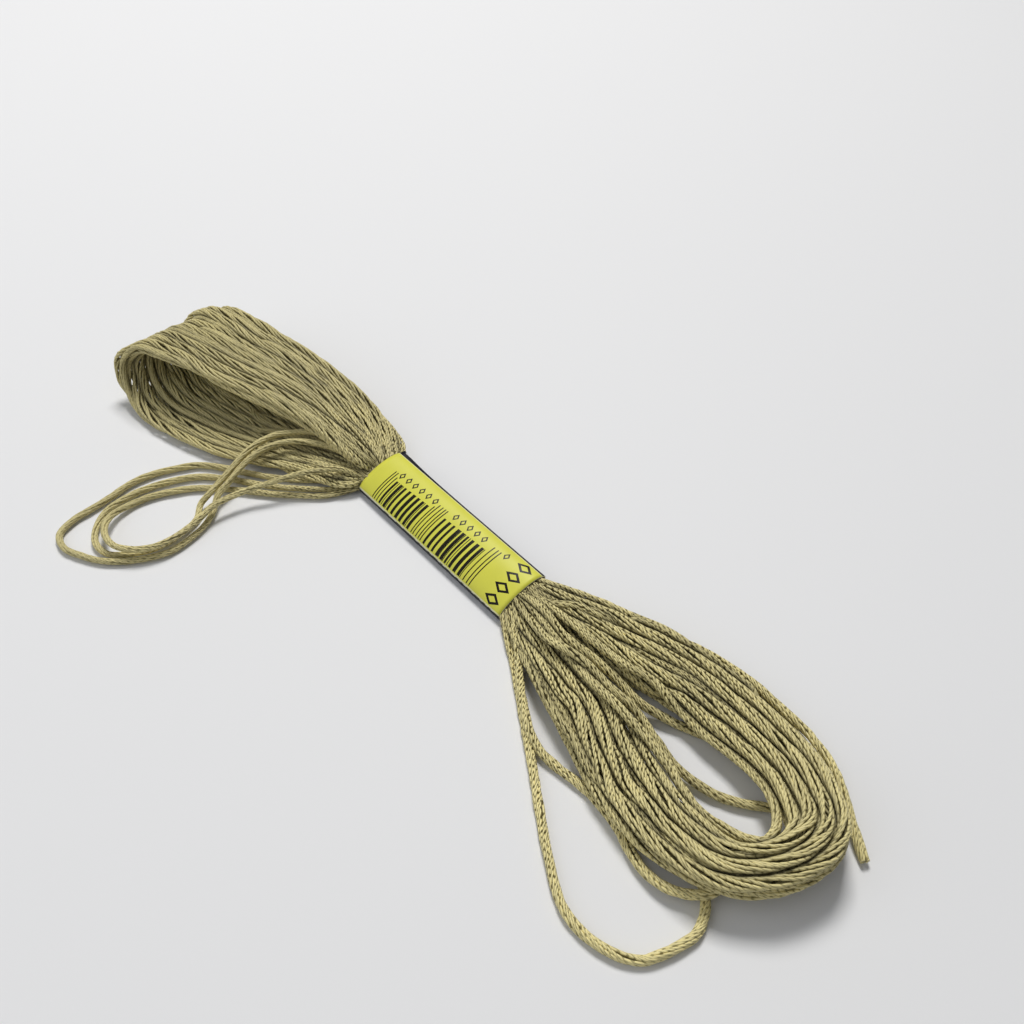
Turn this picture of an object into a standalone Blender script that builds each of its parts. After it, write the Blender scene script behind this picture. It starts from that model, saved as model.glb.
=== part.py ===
"""A hank of six-strand embroidery floss, held at its waist by a paper band.

The floss is wound in one long loop that the band gathers in the middle, so it opens into two lobes.
The near lobe (+X) lies almost flat, as an open ring of threads. The far lobe (-X) stands on edge, as
a broad ribbon that runs along the table, turns over and comes back above itself. A few slack turns
and the cut end have slid out of the wind and lie beside it.

Frame: +X along the hank towards the near lobe, +Y across it, +Z up. The origin is on the flat
underside of the band, at the middle of its length. The sizes below are in millimetres.
"""

import math
from collections import namedtuple

import bmesh
import bpy
import numpy as np
from mathutils import Vector

MM = 0.001
UP = Vector((0, 0, 1))
FAR_FOLD = Vector((-0.1, 1, 0)).normalized()  # the line about which the far lobe turns over

# Driving sizes
THREAD_DIAMETER = 1.35  # six strands together, relaxed
GAP = 0.3  # clearance between neighbouring solids
BAND_LENGTH = 35.0
BAND_HALF_WIDTH = 4.1
BAND_EDGE_HEIGHT = 2.25  # height of the band's side creases, before the lean
BAND_CROWN = 1.7  # rise of the band's upper half above its creases
BAND_DROP = 2.6  # depth of its lower half, cut off flat by the table
BAND_LEAN = 0.27  # rise for each unit of Y: the far crease is the higher one
BAND_POINTS = 36
PAPER_THICKNESS = 0.4
CORE_SHOWS = 1.0  # length of the gathered waist beyond each end of the band
CORE_TAPER = 4.0  # length over which the waist then sinks into a lobe
CORE_TIP_SHARE = 0.6  # size of the waist's ends, as a share of its middle

# The wound threads show as flutes that twist slowly round each run
FLUTES = 10
POINTS_PER_FLUTE = 4
FLUTE_DEPTH = 0.5
FLUTE_SHARE = 0.35  # the most of a thin run's half thickness that a flute may take
SQUARENESS = 2.6  # exponent of the rounded section
LOBE_RINGS = 42
LOBE_TWIST = 0.8  # turns of the flutes from one end of a lobe to the other

TUBE_SPACING = 3.4  # between the points of a slack thread
TUBE_RESOLUTION = 2
SHARP_ANGLE = math.radians(40)

# One row for each station along a lobe: the middle of the run, its width and thickness, and how far
# one edge is raised above the other (the outer edge in the near lobe, the +Y edge in the far lobe)
Station = namedtuple("Station", "x y z width thick rise")

NEAR_LOBE = [
    Station(x=11, y=1.4, z=2.3, width=2.6, thick=1.2, rise=0.3),
    Station(x=17.8, y=1.5, z=2.5, width=3.4, thick=1.8, rise=0.5),
    Station(x=21.5, y=2.4, z=2.6, width=5.8, thick=3.4, rise=0.6),
    Station(x=28, y=4.2, z=2.6, width=8.2, thick=4.1, rise=0.2),
    Station(x=36, y=6.1, z=2.4, width=10.2, thick=4.3, rise=0),
    Station(x=46, y=7.6, z=2.3, width=10.4, thick=4.4, rise=0),
    Station(x=55, y=7.4, z=2.8, width=9.8, thick=4.6, rise=0),
    Station(x=63.2, y=5.4, z=3.9, width=8.4, thick=5.2, rise=0),
    Station(x=68.0, y=0.8, z=4.9, width=6.8, thick=5.8, rise=0),
    Station(x=68.6, y=-4.6, z=5.1, width=6.4, thick=5.8, rise=0),
    Station(x=64.4, y=-9.1, z=4.4, width=7.6, thick=5.2, rise=0),
    Station(x=57.0, y=-10.4, z=3.1, width=8.4, thick=4.6, rise=0),
    Station(x=48, y=-9.2, z=2.4, width=9.4, thick=4.3, rise=0),
    Station(x=39, y=-6.0, z=2.3, width=10.2, thick=4.1, rise=0),
    Station(x=29, y=-4.1, z=2.3, width=7.8, thick=3.6, rise=0),
    Station(x=21.5, y=-2.3, z=2.0, width=5.4, thick=3.0, rise=-0.4),
    Station(x=17.8, y=-1.5, z=1.7, width=3.2, thick=1.5, rise=-0.5),
    Station(x=11, y=-1.4, z=1.8, width=2.6, thick=1.2, rise=-0.3),
]

FAR_LOBE = [
    Station(x=-11, y=-0.2, z=1.7, width=4.2, thick=0.9, rise=1.0),
    Station(x=-17.8, y=-0.2, z=1.7, width=4.8, thick=1.1, rise=1.2),
    Station(x=-22, y=-1.4, z=1.8, width=8.4, thick=2.3, rise=1.0),
    Station(x=-28, y=-3.4, z=1.6, width=11.2, thick=2.4, rise=0.4),
    Station(x=-37, y=-6.8, z=1.3, width=14.6, thick=2.4, rise=0),
    Station(x=-48, y=-10.6, z=1.2, width=18.4, thick=2.4, rise=0),
    Station(x=-58, y=-12.6, z=1.5, width=20.8, thick=2.4, rise=0),
    Station(x=-65.6, y=-12.2, z=3.2, width=21.2, thick=2.4, rise=0.4),
    Station(x=-68.2, y=-11.0, z=6.2, width=21.4, thick=2.4, rise=1.0),
    Station(x=-65.2, y=-9.2, z=9.4, width=20.6, thick=2.4, rise=1.2),
    Station(x=-58.0, y=-6.8, z=10.4, width=19.4, thick=2.4, rise=0.8),
    Station(x=-49, y=-4.0, z=9.6, width=16.4, thick=2.4, rise=0),
    Station(x=-40, y=-1.2, z=8.3, width=13.4, thick=2.5, rise=0),
    Station(x=-31, y=0.8, z=6.4, width=11.0, thick=2.6, rise=0.4),
    Station(x=-22.5, y=1.2, z=4.3, width=8.6, thick=2.5, rise=1.2),
    Station(x=-17.8, y=0.4, z=2.6, width=4.6, thick=1.0, rise=1.2),
    Station(x=-11, y=0.2, z=2.5, width=4.2, thick=0.9, rise=1.0),
]

# The slack threads and the cut end, each a route of (x, y, z) laid by hand
SLACK_THREADS = {
    "slack_loop_near": [
        (20.4, -6.1, 1.1), (22.6, -7.2, 0.8), (25.8, -8.9, 0.7), (29.8, -11.4, 0.7),
        (33.8, -13.8, 0.7), (38.9, -16.5, 0.7), (43.5, -19.6, 0.7), (49, -23, 0.7),
        (54.2, -25.3, 0.7), (59.7, -25, 0.7), (63.8, -22.8, 0.7), (65.9, -18.9, 0.7),
        (66.2, -16, 0.7), (65.4, -14, 0.7),
    ],
    "slack_strand_near": [
        (30, -9.3, 0.7), (33.8, -11.7, 0.7), (37.6, -13, 0.7), (41.2, -13.7, 0.7),
        (45, -14.5, 0.7), (50, -15.6, 0.8), (54, -16.2, 1.0), (58, -16.3, 1.2),
        (61.2, -15.6, 1.5), (63.4, -14.5, 2.0),
    ],
    "slack_loop_far_1": [
        (-23.3, -7.6, 0.7), (-25.8, -10.2, 0.7), (-29.1, -13.2, 0.7), (-33, -16, 0.7),
        (-36.5, -18.3, 0.7), (-39.7, -21, 0.7), (-42, -24.5, 0.7), (-43.2, -28.2, 0.7),
        (-43.4, -31.8, 0.7), (-42.6, -35.4, 0.7), (-41.8, -39, 0.7), (-41.3, -42.4, 0.7),
        (-39.6, -45.4, 0.7), (-36.6, -46.1, 0.7), (-33.4, -45, 0.7), (-30.2, -43.2, 0.7),
        (-27.7, -40.6, 0.7), (-26, -37.4, 0.7), (-25.2, -34, 0.7), (-25.5, -31, 0.7),
        (-26.4, -28.4, 0.7), (-27.7, -26.2, 0.7), (-29, -24.5, 0.9), (-30.1, -22.7, 1.8),
        (-30.9, -20.4, 2.4), (-31.9, -17.8, 3.0), (-32.6, -15, 3.6), (-32.6, -12, 4.1),
        (-31.8, -9.4, 4.3), (-30.4, -7.4, 4.4),
    ],
    "slack_loop_far_2": [
        (-19.4, -9, 0.7), (-22.7, -12.2, 0.7), (-26, -15.5, 0.7), (-29.2, -18.2, 0.7),
        (-32.2, -20.9, 0.7), (-35, -23.9, 0.7), (-37.3, -27.2, 0.7), (-38.5, -30.6, 0.7),
        (-38.8, -33.8, 0.8), (-38, -36.6, 1.3), (-36, -39, 2.1), (-33.2, -40.4, 2.4),
        (-30.2, -40.3, 2.4), (-27.9, -38.6, 2.3), (-26.7, -36, 2.2), (-26.3, -33.2, 2.2),
        (-26.7, -30.2, 2.2), (-27.4, -27.4, 2.3), (-27.7, -25.2, 2.5), (-27.8, -23, 2.6),
        (-27.5, -20.6, 2.7), (-26.9, -18.2, 2.9), (-25.9, -15.6, 3.2), (-24.8, -12.6, 3.6),
        (-23.4, -9.9, 4.0), (-22, -7.6, 4.1),
    ],
    "slack_loop_far_3": [
        (-21.2, -8.3, 0.7), (-24.2, -11.4, 0.7), (-27.4, -14.4, 0.7), (-31, -17.1, 0.7),
        (-34.5, -19.7, 0.7), (-37.4, -22.7, 0.7), (-39.6, -26.2, 0.7), (-40.6, -30, 0.7),
        (-40.8, -33.6, 0.7), (-40.1, -37, 0.7), (-37.6, -40.2, 0.7), (-34.2, -41.9, 0.7),
        (-31, -41.4, 0.7), (-28.9, -39, 0.7), (-27.8, -35.8, 0.7), (-27.6, -32.8, 0.7),
        (-28.2, -29.8, 0.7), (-29.4, -27.2, 0.7), (-30.8, -25.4, 1.2), (-31.6, -23.6, 2.1),
        (-32.4, -21.2, 2.6), (-33.3, -18.6, 3.1), (-34.3, -15.8, 3.7), (-34.8, -12.6, 4.2),
        (-34.6, -9.6, 4.4), (-33.2, -6.9, 4.5),
    ],
    "cut_end": [
        (44, 13.7, 2.2), (49, 14.1, 2.3), (54, 13.6, 2.4), (59, 12.9, 2.3), (63.4, 11.8, 2.0),
        (67, 10, 1.6), (70.3, 7.8, 1.1), (73.6, 5.3, 0.7),
    ],
}


def make_object(name, mesh, material=None):
    """An object of the given mesh, smooth apart from its real edges."""
    thing = bpy.data.objects.new(name, mesh)
    bpy.context.collection.objects.link(thing)
    if material:
        mesh.materials.append(material)
    mesh.shade_smooth()
    mesh.set_sharp_from_angle(angle=SHARP_ANGLE)
    return thing


def make_material(name, colour, roughness):
    material = bpy.data.materials.new(name)
    material.use_nodes = True
    shader = material.node_tree.nodes["Principled BSDF"]
    shader.inputs["Base Color"].default_value = (*colour, 1)
    shader.inputs["Roughness"].default_value = roughness
    shader.inputs["Metallic"].default_value = 0
    return material


def smooth_rows(rows, count):
    """`count` rows, evenly spaced along the smooth curve through the given ones."""
    rows = np.array(rows, dtype=float)
    steps = np.linalg.norm(np.diff(rows[:, :3], axis=0), axis=1)
    place = np.concatenate([[0], np.cumsum(steps)])
    slope = np.gradient(rows, place, axis=0)
    wanted = np.linspace(0, place[-1], count)
    piece = np.clip(np.searchsorted(place, wanted, side="right") - 1, 0, len(steps) - 1)
    span = steps[piece][:, None]
    t = (wanted[:, None] - place[piece][:, None]) / span
    return (
        (2 * t**3 - 3 * t**2 + 1) * rows[piece]
        + (t**3 - 2 * t**2 + t) * span * slope[piece]
        + (3 * t**2 - 2 * t**3) * rows[piece + 1]
        + (t**3 - t**2) * span * slope[piece + 1]
    )


def signed_power(value, exponent):
    return math.copysign(abs(value) ** exponent, value)


def bridge_rings(rings):
    """A closed mesh through rings of points, whose order runs anticlockwise about the way ahead."""
    shape = bmesh.new()
    loops = [[shape.verts.new(point * MM) for point in ring] for ring in rings]
    count = len(rings[0])
    for here, ahead in zip(loops, loops[1:]):
        for i in range(count):
            j = (i + 1) % count
            shape.faces.new((here[i], here[j], ahead[j], ahead[i]))
    shape.faces.new(reversed(loops[0]))
    shape.faces.new(loops[-1])
    return shape


def to_mesh(shape, name):
    mesh = bpy.data.meshes.new(name)
    shape.to_mesh(mesh)
    shape.free()
    return mesh


def make_lobe(name, stations, across_at):
    """A fluted run that follows the stations. `across_at` gives the width's direction at a tangent."""
    rows = smooth_rows(stations, LOBE_RINGS)
    middles = [Vector(row[:3]) for row in rows]
    points = FLUTES * POINTS_PER_FLUTE
    rings = []
    for number, row in enumerate(rows):
        width, thick, rise = row[3:]
        before = middles[max(number - 1, 0)]
        after = middles[min(number + 1, LOBE_RINGS - 1)]
        tangent = (after - before).normalized()
        across = across_at(tangent).normalized()
        out = tangent.cross(across).normalized()
        twist = LOBE_TWIST * number / (LOBE_RINGS - 1)
        ring = []
        for i in range(points):
            angle = 2 * math.pi * (i / points + twist)
            groove = 0.5 - 0.5 * math.cos(2 * math.pi * i / POINTS_PER_FLUTE)
            depth = groove * min(FLUTE_DEPTH, FLUTE_SHARE * thick / 2)
            side = signed_power(math.cos(angle), 2 / SQUARENESS)
            top = signed_power(math.sin(angle), 2 / SQUARENESS)
            offset = across * side * (width / 2 - depth) + out * top * (thick / 2 - depth)
            ring.append(middles[number] + offset + UP * side * rise / 2)
        rings.append(ring)
    guide = make_object(name, to_mesh(bridge_rings(rings), name))
    hide_guide(guide)
    return guide


def hide_guide(guide):
    guide.hide_render = True
    guide.display_type = "WIRE"


def band_outline(x, inset, share=1.0):
    """The band's outline at `x`, drawn in by `inset` all round and then shrunk to `share`."""
    middle = Vector((x, 0, BAND_EDGE_HEIGHT))
    ring = []
    for i in range(BAND_POINTS):
        angle = 2 * math.pi * i / BAND_POINTS
        y = (BAND_HALF_WIDTH - inset) * math.cos(angle)
        depth = BAND_CROWN if math.sin(angle) > 0 else BAND_DROP
        z = BAND_EDGE_HEIGHT + (depth - inset) * math.sin(angle) + BAND_LEAN * y
        ring.append(middle + share * (Vector((x, y, max(z, inset))) - middle))
    return ring


def make_core():
    """The gathered waist inside the band, which sinks into a lobe at each end."""
    inset = PAPER_THICKNESS + GAP
    full = BAND_LENGTH / 2 + CORE_SHOWS
    tip = full + CORE_TAPER
    places = [(-tip, CORE_TIP_SHARE), (-full, 1), (full, 1), (tip, CORE_TIP_SHARE)]
    rings = [band_outline(x, inset, share) for x, share in places]
    return make_object("hank_body", to_mesh(bridge_rings(rings), "hank_body"), FLOSS)


def make_table_cutter():
    """A block below the table's surface, which leaves the hank flat where it rests."""
    shape = bmesh.new()
    bmesh.ops.create_cube(shape, size=1)
    bmesh.ops.scale(shape, verts=shape.verts, vec=Vector((200, 120, 20)) * MM)
    bmesh.ops.translate(shape, verts=shape.verts, vec=Vector((0, 0, -10)) * MM)
    cutter = make_object("table_cutter", to_mesh(shape, "table_cutter"))
    hide_guide(cutter)
    return cutter


def add_boolean(thing, other, operation):
    modifier = thing.modifiers.new(other.name, "BOOLEAN")
    modifier.object = other
    modifier.operation = operation
    modifier.solver = "EXACT"
    modifier.use_self = operation == "UNION"


def make_hank_body():
    """The waist and both lobes in one solid, cut flat by the table."""
    body = make_core()
    near = make_lobe("near_lobe_guide", NEAR_LOBE, lambda tangent: UP.cross(tangent))
    far = make_lobe("far_lobe_guide", FAR_LOBE, lambda tangent: FAR_FOLD)
    add_boolean(body, near, "UNION")
    add_boolean(body, far, "UNION")
    add_boolean(body, make_table_cutter(), "DIFFERENCE")


def make_paper_band():
    """The sleeve round the waist: an outer and an inner wall, joined at both ends."""
    ends = [BAND_LENGTH / -2, BAND_LENGTH / 2]
    shape = bmesh.new()
    outer = [[shape.verts.new(p * MM) for p in band_outline(x, 0)] for x in ends]
    inner = [[shape.verts.new(p * MM) for p in band_outline(x, PAPER_THICKNESS)] for x in ends]
    for i in range(BAND_POINTS):
        j = (i + 1) % BAND_POINTS
        shape.faces.new((outer[0][i], outer[0][j], outer[1][j], outer[1][i]))
        shape.faces.new((inner[0][j], inner[0][i], inner[1][i], inner[1][j]))
        shape.faces.new((outer[0][j], outer[0][i], inner[0][i], inner[0][j]))
        shape.faces.new((outer[1][i], outer[1][j], inner[1][j], inner[1][i]))
    make_object("paper_band", to_mesh(shape, "paper_band"), PAPER)


def make_slack_thread(name, route):
    """A plain tube along the smooth curve through the route's points."""
    length = sum((Vector(b) - Vector(a)).length for a, b in zip(route, route[1:]))
    points = smooth_rows(route, max(round(length / TUBE_SPACING), 4)) * MM
    curve = bpy.data.curves.new(name, "CURVE")
    curve.dimensions = "3D"
    curve.bevel_depth = THREAD_DIAMETER / 2 * MM
    curve.bevel_resolution = TUBE_RESOLUTION
    curve.use_fill_caps = True
    spline = curve.splines.new("POLY")
    spline.points.add(len(points) - 1)
    for target, point in zip(spline.points, points):
        target.co = (*point, 1)
    curve.materials.append(FLOSS)
    bpy.context.collection.objects.link(bpy.data.objects.new(name, curve))


for old in list(bpy.data.objects):
    bpy.data.objects.remove(old)

FLOSS = make_material("floss", (0.42, 0.37, 0.2), 0.75)
PAPER = make_material("band_paper", (0.68, 0.7, 0.1), 0.45)

make_hank_body()
make_paper_band()
for thread_name, thread_route in SLACK_THREADS.items():
    make_slack_thread(thread_name, thread_route)
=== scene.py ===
import math
from collections import namedtuple
from functools import reduce

import bmesh
import bpy
import numpy as np
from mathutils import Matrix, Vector
from mathutils.kdtree import KDTree


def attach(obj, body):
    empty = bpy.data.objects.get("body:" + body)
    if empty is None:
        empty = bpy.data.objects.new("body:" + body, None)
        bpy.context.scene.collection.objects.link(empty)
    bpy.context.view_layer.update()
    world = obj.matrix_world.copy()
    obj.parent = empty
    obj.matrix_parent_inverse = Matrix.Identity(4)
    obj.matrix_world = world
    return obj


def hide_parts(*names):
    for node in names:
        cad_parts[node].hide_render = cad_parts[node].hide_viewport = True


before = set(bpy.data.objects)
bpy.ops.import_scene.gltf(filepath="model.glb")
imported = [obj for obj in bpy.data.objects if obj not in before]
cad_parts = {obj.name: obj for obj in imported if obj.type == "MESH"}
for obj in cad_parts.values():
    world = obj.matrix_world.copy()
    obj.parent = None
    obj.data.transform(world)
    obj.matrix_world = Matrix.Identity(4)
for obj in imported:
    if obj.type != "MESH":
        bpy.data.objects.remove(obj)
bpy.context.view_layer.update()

# ---------------------------------------------------------------------------------------------
# The view. A hank is looked at from above and from the side where its slack turns lie, with the
# flat lobe nearest the eye and the standing lobe furthest from it.
# ---------------------------------------------------------------------------------------------
MM = 0.001


def add_object(name, data):
    """A new object with this data, in the scene."""
    made = bpy.data.objects.new(name, data)
    bpy.context.scene.collection.objects.link(made)
    return made


EYE = Vector((89.3, -63.0, 115.2)) * MM
SIGHT = Vector((-0.5385, 0.4583, -0.7071))
FOCAL_LENGTH = 36.1
SENSOR_WIDTH = 36

eye_data = bpy.data.cameras.new("eye")
eye_data.lens = FOCAL_LENGTH
eye_data.sensor_width = SENSOR_WIDTH
eye_data.clip_start = 5 * MM
eye_data.clip_end = 10
eye = add_object("eye", eye_data)
eye.location = EYE
eye.rotation_euler = SIGHT.to_track_quat("-Z", "Y").to_euler()
bpy.context.scene.camera = eye

# ---------------------------------------------------------------------------------------------
# The floss itself: mercerised cotton, khaki, in fine strands that are laid loosely together. Each
# strand is two plies twisted hard against each other, which gives it its beaded, shining look.
# ---------------------------------------------------------------------------------------------
THREAD_DIAMETER = 1.35
STRANDS = 8
STRAND_DIAMETER = 0.42
STRAND_CIRCLE = 0.455  # radius of the circle on which the strands lie
WIDENED, THINNED = 1.2, 0.8  # the same circle across and through a thread pressed flat
FLAT_WIDTH, FLAT_DEPTH = 1.12, 0.88  # the whole thread then, against its round diameter
LAY_LENGTH = 19.0  # length in which the strands go once round the thread
PLY_PITCH = 2.1  # length in which the two plies go once round each other
GRAIN_COLOUR = (0.86, 0.76, 0.375)
# the groove colour is painted shade, for the dark grooves between the plies
GROOVE_SHADE_COLOUR = (0.10, 0.075, 0.014)
FAR_SOFTENING, FAR_SOFTNESS = (-18, -34), 0.7  # the plies go soft between these places along X
BEND_SOFTENING, BEND_SOFTNESS = (48, 62), 0.4


class Value:
    """A node's output to calculate with: each operation on it adds a node to its tree."""

    def __init__(self, tree, socket):
        self.tree = tree
        self.socket = socket

    def output(self, name):
        """Another output of the same node."""
        return Value(self.tree, self.socket.node.outputs[name])

    def parts(self):
        """The three parts of a vector."""
        split = add_node(self.tree, "ShaderNodeSeparateXYZ", {0: self})
        return [Value(self.tree, socket) for socket in split.socket.node.outputs]

    def math(self, operation, *others):
        sockets = dict(enumerate([self, *others]))
        return add_node(self.tree, "ShaderNodeMath", sockets, operation=operation)

    def vector_math(self, operation, *others):
        sockets = dict(enumerate([self, *others]))
        return add_node(self.tree, "ShaderNodeVectorMath", sockets, operation=operation)

    def scaled(self, amount):
        """A vector made longer or shorter."""
        sockets = {"Vector": self, "Scale": amount}
        return add_node(self.tree, "ShaderNodeVectorMath", sockets, operation="SCALE")

    def mapped(self, start, end, low=0.0, high=1.0, kind="LINEAR"):
        """From `low` to `high` while the value goes from `start` to `end`, and level beyond."""
        sockets = {"Value": self, "From Min": start, "From Max": end, "To Min": low, "To Max": high}
        return add_node(self.tree, "ShaderNodeMapRange", sockets, interpolation_type=kind)

    def __add__(self, other):
        return self.math("ADD", other)

    def __sub__(self, other):
        return self.math("SUBTRACT", other)

    def __rsub__(self, number):
        return self.math("MULTIPLY_ADD", -1.0, number)

    def __mul__(self, other):
        return self.math("MULTIPLY", other)

    def __truediv__(self, other):
        return self.math("DIVIDE", other)

    def __gt__(self, other):
        return self.math("GREATER_THAN", other)

    def __lt__(self, other):
        return self.math("LESS_THAN", other)

    def __and__(self, other):
        """1 where both masks are 1."""
        return self.math("MULTIPLY", other)

    def __or__(self, other):
        """1 where either mask is 1."""
        return self.math("MAXIMUM", other)


def fill_sockets(tree, node, sockets):
    """Links or sets a node's inputs, each named by its place or its name."""
    for key, source in sockets.items():
        if isinstance(source, Value):
            tree.links.new(source.socket, node.inputs[key])
        else:
            node.inputs[key].default_value = source


def add_node(tree, kind, sockets=None, **settings):
    """A new node with its settings and inputs made, as its first output in use."""
    node = tree.nodes.new(kind)
    for key, value in settings.items():
        setattr(node, key, value)
    fill_sockets(tree, node, sockets or {})
    return Value(tree, next(socket for socket in node.outputs if socket.enabled))


def add_noise(tree, place, scale, detail, **settings):
    sockets = {"Vector": place, "Scale": scale, "Detail": detail}
    return add_node(tree, "ShaderNodeTexNoise", sockets, **settings)


def carried_value(tree, name):
    """What a shader reads from the mesh under that name."""
    return add_node(tree, "ShaderNodeAttribute", attribute_name=name).output("Fac")


def new_material(name, **finish):
    """A node material: its tree and its shader, with constants set on the shader's own sockets."""
    material = bpy.data.materials.new(name)
    material.use_nodes = True
    tree = material.node_tree
    shader = tree.nodes["Principled BSDF"]
    fill_sockets(tree, shader, {key.replace("_", " "): value for key, value in finish.items()})
    return material, tree, shader


def ply_height(place, rise, swing):
    """The height of one ply above the strand's middle, at a place across the strand."""
    place = place * 2.0 + swing
    inside = 1.0 - place * place
    roundness = inside.math("MAXIMUM", 0.0).math("SQRT")
    missed = inside.math("MINIMUM", 0.0)
    return (rise + (roundness + missed)) * 0.5


def make_floss_material():
    """Strands of two plies each, from the place across the strand and the turn of its plies."""
    material, tree, shader = new_material(
        "floss", Roughness=0.45, Sheen_Weight=0.02, Sheen_Roughness=0.4, Specular_IOR_Level=0.25
    )
    names = ["twist", "tone", "place", "facing", "closed_in"]
    twist, tone, place, facing, closed = [carried_value(tree, name) for name in names]
    rise = twist.math("SINE")
    swing = twist.math("COSINE")
    one = ply_height(place, rise, swing * -1.0)
    other = ply_height(place, rise * -1.0, swing)
    bare = (1.0 - place * place).math("MAXIMUM", 0.0).math("SQRT")
    relief = (one.math("MAXIMUM", other) - bare).math("MAXIMUM", -0.9)
    spot = add_node(tree, "ShaderNodeTexCoord").output("Object")
    uneven = (add_noise(tree, spot, 650.0, 1.0) - 0.45) * 0.5 + relief
    crest = uneven.mapped(-0.96, -0.38, kind="SMOOTHSTEP")
    # The plies lie softer in the loose far lobe, and where the near lobe's bend presses them flat
    along = spot.parts()[0]
    loose = along.mapped(*[end * MM for end in FAR_SOFTENING], high=FAR_SOFTNESS)
    soft = loose + along.mapped(*[end * MM for end in BEND_SOFTENING], high=BEND_SOFTNESS)
    crest = (0.8 - crest) * soft + crest
    # Painted shade between the plies: where the ply relief is low, the ramp darkens the floss
    # towards the groove colour
    groove_shade_ramp = add_node(tree, "ShaderNodeValToRGB", {0: crest})
    low, high = groove_shade_ramp.socket.node.color_ramp.elements
    low.color, high.color = (*GROOVE_SHADE_COLOUR, 1), (*GRAIN_COLOUR, 1)
    # Strands take the dye a little differently, and so does each stretch of the thread
    shade = tone * 0.2 + (add_noise(tree, spot, 90.0, 3.0) * 0.3 + 0.76)
    # Little light gets between the strands of a thread, or between one thread and the next
    depth = facing.mapped(-0.9, 0.05, 0.4, kind="SMOOTHSTEP")
    depth = (1.0 - depth) * soft + depth
    light = depth * (closed * (loose * 0.45 - 0.95) + 1.0)
    shade = shade * light * (loose * -0.24 + 1.0)
    sockets = {0: 1.0, 6: groove_shade_ramp, 7: shade}
    mixed = add_node(
        tree, "ShaderNodeMix", sockets, data_type="RGBA", blend_type="MULTIPLY", clamp_result=True
    )
    sockets = {"Distance": STRAND_DIAMETER / 2 * MM, "Height": relief}
    bump = add_node(tree, "ShaderNodeBump", {"Strength": soft * -0.8 + 0.8, **sockets})
    fill_sockets(tree, shader, {"Base Color": mixed, "Normal": bump})
    return material


FLOSS = make_floss_material()


def named_value(tree, name, data_type="FLOAT"):
    return add_node(tree, "GeometryNodeInputNamedAttribute", {"Name": name}, data_type=data_type)


def store_value(tree, geometry, name, value, data_type="FLOAT"):
    sockets = {"Geometry": geometry, "Name": name, "Value": value}
    return add_node(tree, "GeometryNodeStoreNamedAttribute", sockets, data_type=data_type)


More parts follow.
